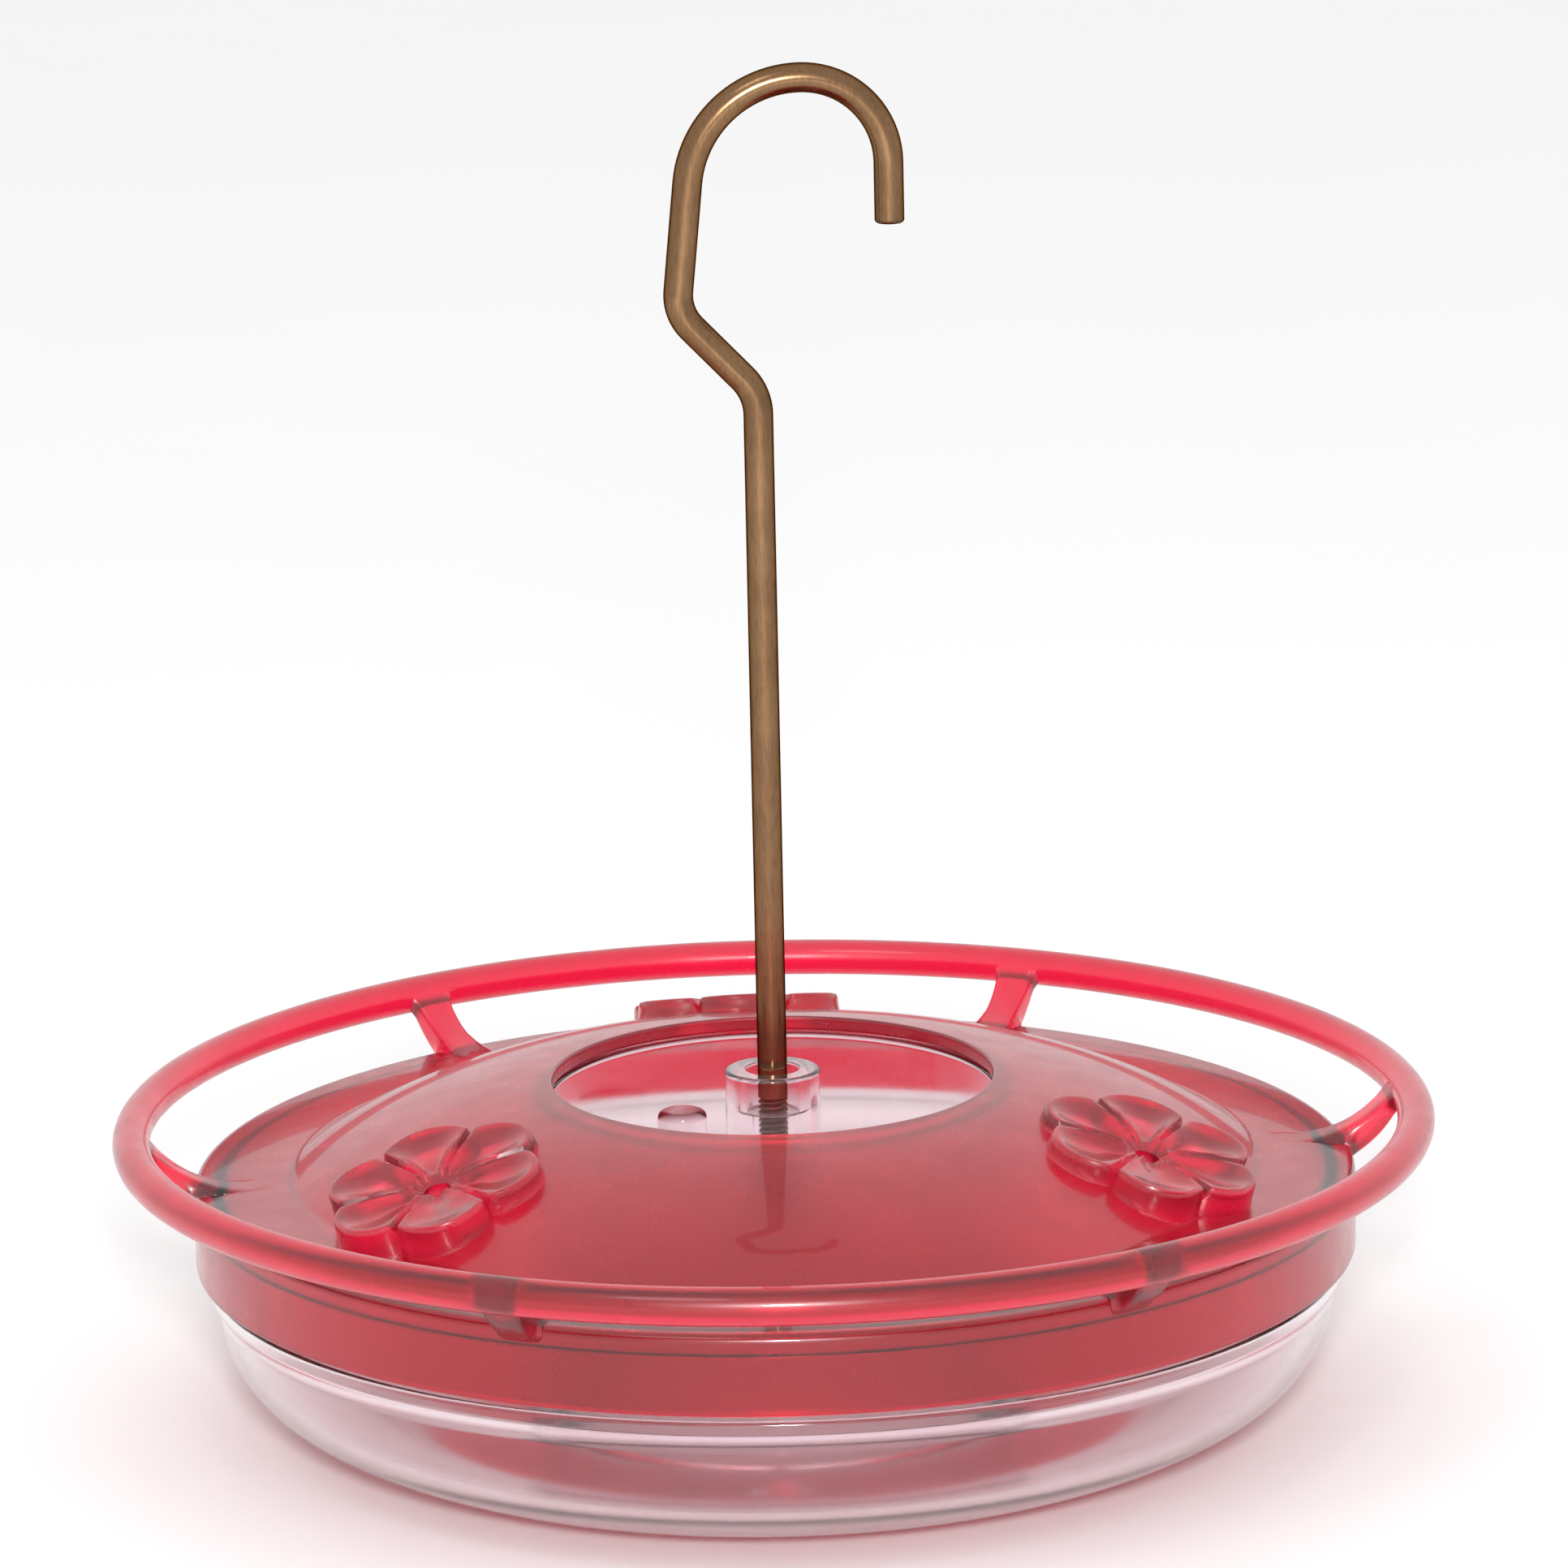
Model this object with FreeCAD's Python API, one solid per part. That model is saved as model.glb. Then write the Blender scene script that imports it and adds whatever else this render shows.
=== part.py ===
"""Hanging dish feeder for hummingbirds.

A clear bowl with a central ant moat and post, a red cover with a perch ring and
three flower ports that lifts off over the rod, and a bent brass rod that is
screwed into the post. Millimetres, +Z up. The origin is on the axis of the bowl,
on the surface that the bowl stands on. The hook lies in the XZ plane.
"""
import FreeCAD, Part
import math
import os

Vec = FreeCAD.Vector
AXIS_UP = Vec(0, 0, 1)
ORIGIN = Vec(0, 0, 0)

# Clear bowl
bowl_radius = 78.0
base_arc_radius = 42.5
side_arc_radius = 16.0
side_height = 20.0
bowl_wall = 2.4
ledge_rise = 3.9
ledge_step = 0.7
ledge_round = 0.9
neck_offset = 0.6
neck_wall = 2.2
neck_height = 9.0
floor_round = 3.0

# Ant moat, its raised floor and what stands on it
trough_floor_width = 16.8
moat_wall = 2.0
moat_draft = 0.4
moat_floor_height = 24.0
moat_floor_wall = 2.4
moat_floor_round = 1.5
moat_rim_gap = 0.5
post_diameter = 13.2
post_height = 50.3
post_recess_diameter = 7.4
post_recess_depth = 6.0
boss_diameter = 7.0
boss_height = 39.0
boss_inset = 7.6
boss_angle = 118.0

# Brass rod
rod_diameter = 4.1
rod_fit = 0.05
rod_foot_cover = 3.0
slant_drop = 43.3
slant_angle = 43.4
leg_lean = 6.0
hook_offset = 6.5
hook_top_height = 189.2
hook_left_radius = 15.6
hook_right_radius = 12.0
tip_length = 8.4
lower_bend_radius = 7.5
upper_bend_radius = 6.5

# Red cover
cover_clearance = 0.35
cover_wall = 2.0
skirt_gap = 1.2
shoulder_round = 1.2
flange_slope = 4.0
seat_wall = 1.5
flange_wall = 1.9
flange_width = 13.95
dome_rise = 13.2
dome_arc_radius = 88.0
dome_foot_round = 2.5
under_dome_round = 0.7
hole_lip = 0.5

# Perch ring and its arms
perch_reach = 8.45
perch_diameter = 5.2
perch_rise = 6.6
arm_count = 6
arm_width = 6.0
arm_root_width = 3.6
arm_root_inset = 7.75
arm_skirt_drop = 2.6
arm_top_sag = 1.9
arm_under_sag = 0.9

# Flower ports
flower_count = 3
flower_first_angle = 90.0
flower_inset = 10.2
flower_rise = 2.6
flower_tilt = 18.0
petal_count = 6
petal_reach = 15.7
petal_radius = 6.85
petal_flare = 0.7
scoop_lean = 34.0
scoop_depth = 1.45
scoop_rim = 0.7
groove_width = 1.1
groove_depth = 1.3
throat_diameter = 6.4
throat_depth = 2.2
port_diameter = 3.8

# Edges: rounds finer than the finest one are plain bevels
finest_round = 0.8
rim_bevel = 0.4
end_bevel = 0.5

# Sizes that follow from the ones above
base_radius = bowl_radius - side_arc_radius - math.sqrt(
    (base_arc_radius - side_arc_radius) ** 2 - (base_arc_radius - side_height) ** 2)
ledge_height = side_height + ledge_rise
neck_radius = bowl_radius + neck_offset
neck_inner_radius = neck_radius - neck_wall
bowl_rim_height = ledge_height + neck_height
moat_radius = base_radius - trough_floor_width
boss_radius = moat_radius - boss_inset
rod_radius = rod_diameter / 2
rod_end_height = moat_floor_height + rod_foot_cover
slant_start_height = hook_top_height - slant_drop
skirt_inner_radius = neck_radius + cover_clearance
skirt_outer_radius = skirt_inner_radius + cover_wall
skirt_bottom_height = ledge_height + skirt_gap
flange_underside_height = bowl_rim_height + seat_wall
shoulder_height = flange_underside_height + flange_wall
dome_foot_radius = skirt_outer_radius - flange_width
dome_foot_height = shoulder_height + math.tan(math.radians(flange_slope)) * flange_width
hole_radius = moat_radius - hole_lip
hole_height = shoulder_height + dome_rise
perch_radius = skirt_outer_radius + perch_reach
perch_section = perch_diameter / 2
perch_height = shoulder_height + perch_rise
arm_root_radius = skirt_outer_radius - arm_root_inset
flower_radius = dome_foot_radius - flower_inset


def polar(radius, degrees, height=0.0):
    angle = math.radians(degrees)
    return Vec(radius * math.cos(angle), radius * math.sin(angle), height)


def section(points):
    """Points of a half section, given as radius and height."""
    return [Vec(radius, 0, height) for radius, height in points]


def unit(vector):
    return vector * (1.0 / vector.Length)


def arc_between(start, end, radius, bulge):
    """Arc of a given radius whose middle lies on the side that bulge points to."""
    middle = (start + end) * 0.5
    half = (end - start).Length / 2
    across = (end - start).cross(Vec(0, 1, 0))
    across = unit(across)
    if across.dot(bulge) < 0:
        across = across * -1
    rise = radius - math.sqrt(radius ** 2 - half ** 2)
    return Part.Arc(start, middle + across * rise, end).toShape()


def corner_edge(before, corner, after, radius):
    """Tangent arc or plain bevel that softens one corner, with its start and end."""
    to_before = unit(before - corner)
    to_after = unit(after - corner)
    half_turn = to_before.getAngle(to_after) / 2
    reach = radius / math.tan(half_turn)
    start = corner + to_before * reach
    end = corner + to_after * reach
    if radius < finest_round:
        return start, end, Part.makeLine(start, end)
    inward = unit(to_before + to_after)
    middle = corner + inward * (radius / math.sin(half_turn) - radius)
    return start, end, Part.Arc(start, middle, end).toShape()


def rounded_path(points, radii):
    """Open run of lines through points, with each inner corner softened."""
    edges = []
    here = points[0]
    for before, corner, after, radius in zip(points, points[1:], points[2:], radii):
        if radius:
            start, end, edge = corner_edge(before, corner, after, radius)
        else:
            start, end, edge = corner, corner, None
        edges.append(Part.makeLine(here, start))
        if edge:
            edges.append(edge)
        here = end
    edges.append(Part.makeLine(here, points[-1]))
    return edges


def turned(edges):
    """Solid turned about the Z axis from the edges of a closed half section."""
    wire = Part.Wire(Part.__sortEdges__(edges))
    return Part.Face(wire).revolve(ORIGIN, AXIS_UP, 360)


def arc_height(centre, radius, at_radius):
    return centre.z + math.sqrt(radius ** 2 - (at_radius - centre.x) ** 2)


def dome_centre():
    """Centre of the dome's section arc, from the hole's edge and the foot."""
    hole_edge, foot = section([(hole_radius, hole_height), (dome_foot_radius, dome_foot_height)])
    half = (foot - hole_edge).Length / 2
    across = unit((foot - hole_edge).cross(Vec(0, 1, 0)))
    if across.z > 0:
        across = across * -1
    return (hole_edge + foot) * 0.5 + across * math.sqrt(dome_arc_radius ** 2 - half ** 2)


def dome_height(at_radius, depth=0.0):
    return arc_height(dome_centre(), dome_arc_radius - depth, at_radius)


def bowl_side(depth):
    """Two tangent arcs from the flat base up to the side, moved inward by depth."""
    side_centre = Vec(bowl_radius - side_arc_radius, 0, side_height)
    base_centre = Vec(base_radius, 0, base_arc_radius)
    outward = unit(side_centre - base_centre)
    base_arc = base_arc_radius - depth
    side_arc = side_arc_radius - depth
    foot = base_centre - AXIS_UP * base_arc
    joint = base_centre + outward * base_arc
    top = side_centre + Vec(side_arc, 0, 0)
    half_way = unit(unit(foot - base_centre) + outward)
    side_way = unit(outward + Vec(1, 0, 0))
    return foot, top, [
        Part.Arc(foot, base_centre + half_way * base_arc, joint).toShape(),
        Part.Arc(joint, side_centre + side_way * side_arc, top).toShape(),
    ]


def make_bowl():
    outer_foot, outer_top, outer_arcs = bowl_side(0)
    inner_foot, inner_top, inner_arcs = bowl_side(bowl_wall)
    ledge_radius = neck_radius + ledge_step
    moat_outer_radius = moat_radius + moat_wall
    moat_rim_height = dome_height(moat_outer_radius, cover_wall) - moat_rim_gap
    recess_radius = moat_radius + moat_draft / 2
    floor_top = moat_floor_height
    floor_under = moat_floor_height - moat_floor_wall
    ledge_and_neck = section([
        (outer_top.x, outer_top.z), (ledge_radius, ledge_height - 2 * ledge_round),
        (ledge_radius, ledge_height), (neck_radius, ledge_height),
        (neck_radius, bowl_rim_height), (neck_inner_radius, bowl_rim_height),
        (inner_top.x, inner_top.z)])
    corner_radii = [0, min(ledge_round, ledge_step * 0.9), 0, rim_bevel, rim_bevel]
    moat_side = section([
        (inner_foot.x, inner_foot.z), (moat_outer_radius + moat_draft, bowl_wall),
        (moat_outer_radius, moat_rim_height), (moat_radius, moat_rim_height),
        (moat_radius - moat_draft, floor_top), (0, floor_top)])
    underside = section([
        (0, floor_under), (moat_radius - moat_draft, floor_under),
        (recess_radius, 0), (outer_foot.x, 0)])
    edges = outer_arcs + inner_arcs
    edges += rounded_path(ledge_and_neck, corner_radii)
    edges += rounded_path(moat_side, [floor_round, rim_bevel, rim_bevel, moat_floor_round])
    edges += rounded_path(underside, [moat_floor_round, rim_bevel])
    edges.append(Part.makeLine(moat_side[-1], underside[0]))
    bowl = turned(edges)
    bowl = bowl.fuse([make_post(), make_boss()])
    bowl = bowl.cut(make_post_bore())
    return bowl.removeSplitter()


def make_post():
    radius = post_diameter / 2
    edges = rounded_path(
        section([(0, moat_floor_height - 0.5), (radius, moat_floor_height - 0.5),
                 (radius, post_height), (0, post_height)]),
        [0, end_bevel])
    edges.append(Part.makeLine(Vec(0, 0, post_height), Vec(0, 0, moat_floor_height - 0.5)))
    return turned(edges)


def make_post_bore():
    bore = Part.makeCylinder(
        rod_radius + rod_fit, post_height - rod_end_height + 1, Vec(0, 0, rod_end_height))
    recess = Part.makeCylinder(
        post_recess_diameter / 2, post_recess_depth + 1,
        Vec(0, 0, post_height - post_recess_depth))
    return bore.fuse(recess)


def make_boss():
    foot = polar(boss_radius, boss_angle, moat_floor_height - 0.5)
    boss = Part.makeCylinder(boss_diameter / 2, boss_height - foot.z, foot)
    return bevelled_at(boss, boss_height)


def bevelled_at(shape, height):
    """Shape with the flat edges at one height bevelled."""
    edges = [edge for edge in shape.Edges
             if abs(edge.BoundBox.ZMin - height) < 0.01
             and abs(edge.BoundBox.ZMax - height) < 0.01]
    return shape.makeChamfer(end_bevel, edges)


def rod_path():
    """Centre line of the rod: shank, slant, leaning leg, the hook's two arcs, tip."""
    lean = math.radians(leg_lean)
    slant = math.radians(slant_angle)
    left_centre = Vec(hook_offset, 0, hook_top_height - hook_left_radius)
    right_centre = Vec(hook_offset, 0, hook_top_height - hook_right_radius)
    leg_top = left_centre + Vec(-math.cos(lean), 0, math.sin(lean)) * hook_left_radius
    leg_way = Vec(-math.sin(lean), 0, -math.cos(lean))
    slant_way = Vec(-math.sin(slant), 0, math.cos(slant))
    slant_start = Vec(0, 0, slant_start_height)
    across = leg_top - slant_start
    turn = slant_way.x * leg_way.z - slant_way.z * leg_way.x
    slant_length = (across.x * leg_way.z - across.z * leg_way.x) / turn
    slant_end = slant_start + slant_way * slant_length
    hook_top = Vec(hook_offset, 0, hook_top_height)
    tip_top = right_centre + Vec(hook_right_radius, 0, 0)
    edges = rounded_path(
        [Vec(0, 0, rod_end_height), slant_start, slant_end, leg_top],
        [lower_bend_radius, upper_bend_radius])
    left_middle = (90 + 180 - leg_lean) / 2
    for centre, radius, start, middle, end in (
            (left_centre, hook_left_radius, leg_top, left_middle, hook_top),
            (right_centre, hook_right_radius, hook_top, 45.0, tip_top)):
        angle = math.radians(middle)
        through = centre + Vec(math.cos(angle), 0, math.sin(angle)) * radius
        edges.append(Part.Arc(start, through, end).toShape())
    edges.append(Part.makeLine(tip_top, tip_top - AXIS_UP * tip_length))
    return Part.Wire(edges)


def make_hanging_rod():
    profile = Part.Wire(Part.makeCircle(rod_radius, Vec(0, 0, rod_end_height), AXIS_UP))
    rod = rod_path().makePipeShell([profile], True, True)
    rod = bevelled_at(rod, hook_top_height - hook_right_radius - tip_length)
    return bevelled_at(rod, rod_end_height)


def make_cover_shell():
    """Dome, flange and skirt, with the seat for the bowl's rim inside."""
    centre = dome_centre()
    inner_arc = dome_arc_radius - cover_wall
    inner_foot_radius = centre.x + math.sqrt(
        inner_arc ** 2 - (flange_underside_height - centre.z) ** 2)
    hole_edge, foot, shoulder = section([
        (hole_radius, hole_height), (dome_foot_radius, dome_foot_height),
        (skirt_outer_radius, shoulder_height)])
    inner_hole = Vec(hole_radius, 0, dome_height(hole_radius, cover_wall))
    inner_foot = Vec(inner_foot_radius, 0, flange_underside_height)
    outer = section([
        (dome_foot_radius, dome_foot_height), (skirt_outer_radius, shoulder_height),
        (skirt_outer_radius, skirt_bottom_height), (skirt_inner_radius, skirt_bottom_height),
        (skirt_inner_radius, bowl_rim_height), (neck_inner_radius, bowl_rim_height),
        (neck_inner_radius, flange_underside_height), (inner_foot_radius, flange_underside_height)])
    edges = rounded_path(
        outer, [shoulder_round, rim_bevel, rim_bevel, 0, 0, under_dome_round])
    edges.append(arc_between(hole_edge, foot, dome_arc_radius, AXIS_UP))
    edges.append(arc_between(inner_hole, inner_foot, inner_arc, AXIS_UP))
    edges.append(Part.makeLine(hole_edge, inner_hole))
    shell = turned(edges)
    fold = [edge for edge in shell.Edges
            if abs(edge.BoundBox.XMax - dome_foot_radius) < 0.05
            and abs(edge.BoundBox.ZMax - dome_foot_height) < 0.05]
    return shell.makeFillet(dome_foot_round, fold)


def make_perch_ring():
    return Part.makeTorus(perch_radius, perch_section, Vec(0, 0, perch_height))


def make_arm(angle):
    """One gusset from the flange and skirt out to the perch ring."""
    ring_inner = perch_radius - perch_section
    root_top = Vec(arm_root_radius, 0, shoulder_height + math.tan(
        math.radians(flange_slope)) * (skirt_outer_radius - arm_root_radius))
    ring_top = Vec(ring_inner + 0.4, 0, perch_height + perch_section * 0.45)
    ring_under = Vec(ring_inner + 0.9, 0, perch_height - perch_section * 0.75)
    skirt_foot = Vec(skirt_outer_radius - 0.6, 0, shoulder_height - arm_skirt_drop)
    buried = Vec(arm_root_radius, 0, flange_underside_height + 0.6)
    buried_side = Vec(skirt_inner_radius + 0.5, 0, flange_underside_height + 0.6)
    buried_foot = Vec(skirt_inner_radius + 0.5, 0, shoulder_height - arm_skirt_drop)
    ring_heart_top = Vec(perch_radius, 0, ring_top.z)
    ring_heart_under = Vec(perch_radius, 0, ring_under.z)
    top_middle = (root_top + ring_top) * 0.5 + Vec(0.5, 0, -1) * arm_top_sag * 0.9
    under_middle = (skirt_foot + ring_under) * 0.5 + Vec(0.6, 0, -0.8) * arm_under_sag
    edges = [
        Part.Arc(root_top, top_middle, ring_top).toShape(),
        Part.makeLine(ring_top, ring_heart_top),
        Part.makeLine(ring_heart_top, ring_heart_under),
        Part.makeLine(ring_heart_under, ring_under),
        Part.Arc(ring_under, under_middle, skirt_foot).toShape(),
        Part.makeLine(skirt_foot, buried_foot),
        Part.makeLine(buried_foot, buried_side),
        Part.makeLine(buried_side, buried),
        Part.makeLine(buried, root_top),
    ]
    side = Part.Face(Part.Wire(edges))
    web = side.extrude(Vec(0, 2 * arm_width, 0))
    web.translate(Vec(0, -arm_width, 0))
    plan = Part.makePolygon([
        Vec(arm_root_radius, -arm_root_width / 2, 0), Vec(perch_radius, -arm_width / 2, 0),
        Vec(perch_radius, arm_width / 2, 0), Vec(arm_root_radius, arm_root_width / 2, 0),
        Vec(arm_root_radius, -arm_root_width / 2, 0)])
    outline = Part.Face(Part.Wire(plan)).extrude(AXIS_UP * hook_top_height)
    arm = web.common(outline)
    arm.rotate(ORIGIN, AXIS_UP, angle)
    return arm


def make_petal_scoop():
    """Spoon shaped hollow of one petal, turned about an axis that leans outward."""
    lean = math.radians(scoop_lean)
    way = Vec(math.cos(lean), 0, math.sin(lean))
    heel = Vec(0.5, 0, -0.8)
    inner = Vec(1.6, 0, -scoop_depth - 0.3)
    middle = Vec(petal_reach * 0.6, 0, -scoop_depth)
    outer = Vec(petal_reach - scoop_rim, 0, 0.15)
    heel_foot = heel + way * (inner - heel).dot(way)
    toe_foot = heel + way * (outer - heel).dot(way)
    edges = [
        Part.makeLine(heel_foot, inner),
        Part.Arc(inner, middle, outer).toShape(),
        Part.makeLine(outer, toe_foot),
        Part.makeLine(toe_foot, heel_foot),
    ]
    return Part.Face(Part.Wire(edges)).revolve(heel, way, 360)


def make_petal_groove():
    """Narrow V between two petals, shallow at the throat and deep at the rim."""
    half = groove_width / 2
    start = 2.0
    end = petal_reach + 1
    sections = []
    for reach, depth in ((start, groove_depth * 0.6), (end, groove_depth)):
        sections.append(Part.makePolygon([
            Vec(reach, -half, 0.05), Vec(reach, half, 0.05),
            Vec(reach, 0, -depth - 0.4), Vec(reach, -half, 0.05)]))
    return Part.makeLoft(sections, True, True)


def make_flower(angle):
    """Six cupped petals round a funnel, and the port that goes through the dome."""
    depth = 9.0
    lobe_centre = petal_reach - petal_radius
    petals = []
    scoops = []
    for index in range(petal_count):
        turn = 360.0 / petal_count * index
        lobe = Part.makeCone(
            petal_radius + petal_flare * depth / 4, petal_radius, depth,
            polar(lobe_centre, turn, -depth))
        petals.append(lobe)
        scoop = make_petal_scoop()
        scoop.rotate(ORIGIN, AXIS_UP, turn)
        scoops.append(scoop)
        groove = make_petal_groove()
        groove.rotate(ORIGIN, AXIS_UP, turn + 180.0 / petal_count)
        scoops.append(groove)
    heart = Part.makeCylinder(lobe_centre, depth, Vec(0, 0, -depth))
    flower = heart.fuse(petals).removeSplitter()
    throat = Part.makeCone(port_diameter / 2, throat_diameter / 2, throat_depth,
                           Vec(0, 0, -throat_depth - 0.9))
    throat_top = Part.makeCylinder(throat_diameter / 2, 1.5, Vec(0, 0, -0.9))
    flower = flower.cut(scoops + [throat, throat_top])
    port = Part.makeCylinder(port_diameter / 2, 3 * depth, Vec(0, 0, -2 * depth))
    place = FreeCAD.Placement(
        Vec(flower_radius, 0, dome_height(flower_radius) + flower_rise),
        FreeCAD.Rotation(Vec(0, 1, 0), flower_tilt))
    for shape in (flower, port):
        shape.Placement = place.multiply(shape.Placement)
        shape.rotate(ORIGIN, AXIS_UP, angle)
    return flower, port


def make_under_dome():
    """Space below the middle of the dome's wall, which trims the flowers."""
    centre = dome_centre()
    middle_arc = dome_arc_radius - cover_wall / 2
    trim_height = flange_underside_height + 0.5
    trim_radius = centre.x + math.sqrt(middle_arc ** 2 - (trim_height - centre.z) ** 2)
    inner_edge, outer_edge = section([
        (hole_radius, dome_height(hole_radius, cover_wall / 2)), (trim_radius, trim_height)])
    rim = Vec(skirt_outer_radius, 0, trim_height)
    edges = [arc_between(inner_edge, outer_edge, middle_arc, AXIS_UP)]
    edges.append(Part.makeLine(outer_edge, rim))
    edges.append(Part.makeLine(rim, Vec(skirt_outer_radius, 0, 0)))
    edges.append(Part.makeLine(Vec(skirt_outer_radius, 0, 0), Vec(hole_radius, 0, 0)))
    edges.append(Part.makeLine(Vec(hole_radius, 0, 0), inner_edge))
    return turned(edges)


def make_cover():
    pieces = [make_perch_ring()]
    pieces += [make_arm(360.0 / arm_count * index) for index in range(arm_count)]
    under_dome = make_under_dome()
    ports = []
    for index in range(flower_count):
        flower, port = make_flower(flower_first_angle + 360.0 / flower_count * index)
        pieces.append(flower.cut(under_dome))
        ports.append(port)
    cover = make_cover_shell().fuse(pieces)
    cover = cover.cut(ports)
    return cover.removeSplitter()


def main():
    os.makedirs("parts", exist_ok=True)
    parts = {
        "bowl": make_bowl(),
        "cover": make_cover(),
        "hanging_rod": make_hanging_rod(),
    }
    for name, shape in parts.items():
        solid = shape.Solids[0] if len(shape.Solids) == 1 else shape
        box = solid.BoundBox
        print(name, "solids", len(shape.Solids), "valid", solid.isValid(),
              "volume", round(solid.Volume, 1),
              "z", round(box.ZMin, 2), round(box.ZMax, 2))
        solid.exportStep("parts/" + name + ".step")


main()
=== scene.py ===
"""Hanging dish feeder for hummingbirds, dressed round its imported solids.

The bowl, the cover and the rod are smooth meshes that stand for the solids of the
same names. Metres, +Z up, origin on the axis where the bowl stands. Sizes in the
settings are metres too; MM turns the millimetres of the drawing into them.
"""
import math
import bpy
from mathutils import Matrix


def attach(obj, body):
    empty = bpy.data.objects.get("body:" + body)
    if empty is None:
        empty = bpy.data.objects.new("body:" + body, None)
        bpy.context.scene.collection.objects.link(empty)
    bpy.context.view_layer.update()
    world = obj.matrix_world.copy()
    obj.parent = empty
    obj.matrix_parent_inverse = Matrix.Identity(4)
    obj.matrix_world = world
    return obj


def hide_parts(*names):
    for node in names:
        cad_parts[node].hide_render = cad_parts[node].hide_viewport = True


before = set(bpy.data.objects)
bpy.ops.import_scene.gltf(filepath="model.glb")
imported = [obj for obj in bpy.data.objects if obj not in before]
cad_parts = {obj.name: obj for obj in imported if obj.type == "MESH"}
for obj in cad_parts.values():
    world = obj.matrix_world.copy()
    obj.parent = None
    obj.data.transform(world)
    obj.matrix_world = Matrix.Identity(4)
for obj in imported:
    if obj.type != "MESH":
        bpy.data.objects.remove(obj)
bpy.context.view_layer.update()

from types import SimpleNamespace

import bmesh
import bpy
from bpy.props import FloatProperty, FloatVectorProperty, IntProperty, PointerProperty
from mathutils import Matrix, Vector

bl_info = {
    "name": "Dish Feeder",
    "version": (1, 0, 0),
    "blender": (4, 5, 0),
    "location": "View3D > Sidebar > Feeder",
    "description": "Builds a hanging dish feeder with its bowl, cover, rod and studio",
    "category": "Object",
}

MM = 0.001
UP = Vector((0, 0, 1))
SHARP_ANGLE = math.radians(32)
IMAGE_SIDE = 1932

# Sockets of the colour mix node, which has several of the same name
MIX_A = 6
MIX_B = 7
MIX_RESULT = 2

# Materials
PLASTIC_IOR = 1.49
CLEAR_IOR = 1.40
GLOSS_WEIGHT = 0.45
WAVE_DEPTH = 0.04 * MM

# Studio: places in metres, powers in watts
WORLD_LEVEL = 0.90
LIT_PLACE = (0, 0, 0.06)
KEY_PLACE = (-0.5, -0.9, 1.5)
KEY_SIZE = 0.5
KEY_POWER = 2.0
FLASH_OFFSET = Vector((0.02, 0.0, 0.10))
FLASH_SIZE = 0.14
FLASH_POWER = 10.0


# Settings

def length(name, description, millimetres):
    return FloatProperty(
        name=name, description=description, default=millimetres * MM,
        min=0.0, unit="LENGTH", precision=5)


def colour(name, description, value):
    return FloatVectorProperty(
        name=name, description=description, default=value, size=3,
        min=0.0, max=1.0, subtype="COLOR")


def angle(name, description, degrees):
    return FloatProperty(
        name=name, description=description, default=math.radians(degrees),
        unit="ROTATION")


class FeederBowlSettings(bpy.types.PropertyGroup):
    base_radius: length("Base radius", "Radius of the flat band under the bowl", 48.0)
    base_arc: length("Base arc", "Section radius between base and side", 42.5)
    side_arc: length("Side arc", "Section radius of the side", 16.0)
    side_height: length("Side height", "Height at which the side is upright", 20.0)
    wall: length("Wall", "Thickness of the bowl", 2.4)
    ledge_height: length("Ledge height", "Top of the ledge below the cover", 23.9)
    ledge_step: length("Ledge step", "How far the ledge stands out of the neck", 0.7)
    neck_radius: length("Neck radius", "Outer radius of the neck in the cover", 78.6)
    neck_wall: length("Neck wall", "Thickness of the neck", 2.2)
    rim_height: length("Rim height", "Height of the bowl's rim", 32.9)
    moat_radius: length("Moat radius", "Inner radius of the moat's wall", 31.2)
    moat_wall: length("Moat wall", "Thickness of the moat's wall", 2.0)
    moat_draft: length("Moat draft", "How far the moat's wall leans in", 0.4)
    moat_floor: length("Moat floor", "Height of the moat's floor", 24.0)
    moat_floor_wall: length("Floor wall", "Thickness of the moat's floor", 2.4)
    post_radius: length("Post radius", "Radius of the central post", 6.6)
    post_height: length("Post height", "Height of the post's top", 50.3)
    recess_radius: length("Recess radius", "Radius of the recess in the post", 3.7)
    recess_depth: length("Recess depth", "Depth of the recess in the post", 6.0)
    boss_radius: length("Boss radius", "Radius of the small boss in the moat", 3.5)
    boss_height: length("Boss height", "Height of the boss's top", 39.0)
    boss_reach: length("Boss reach", "Distance of the boss from the axis", 23.6)
    boss_angle: angle("Boss angle", "Direction of the boss", 118.0)
    # The bowl's tint is near white with a pink cast painted in: painted light standing in for red
    # light from the cover falling into the bowl.
    tint: colour("Tint", "Colour of the clear plastic", (0.975, 0.90, 0.925))
    steps: IntProperty(name="Steps", description="Segments round the axis", default=180, min=24)


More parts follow.
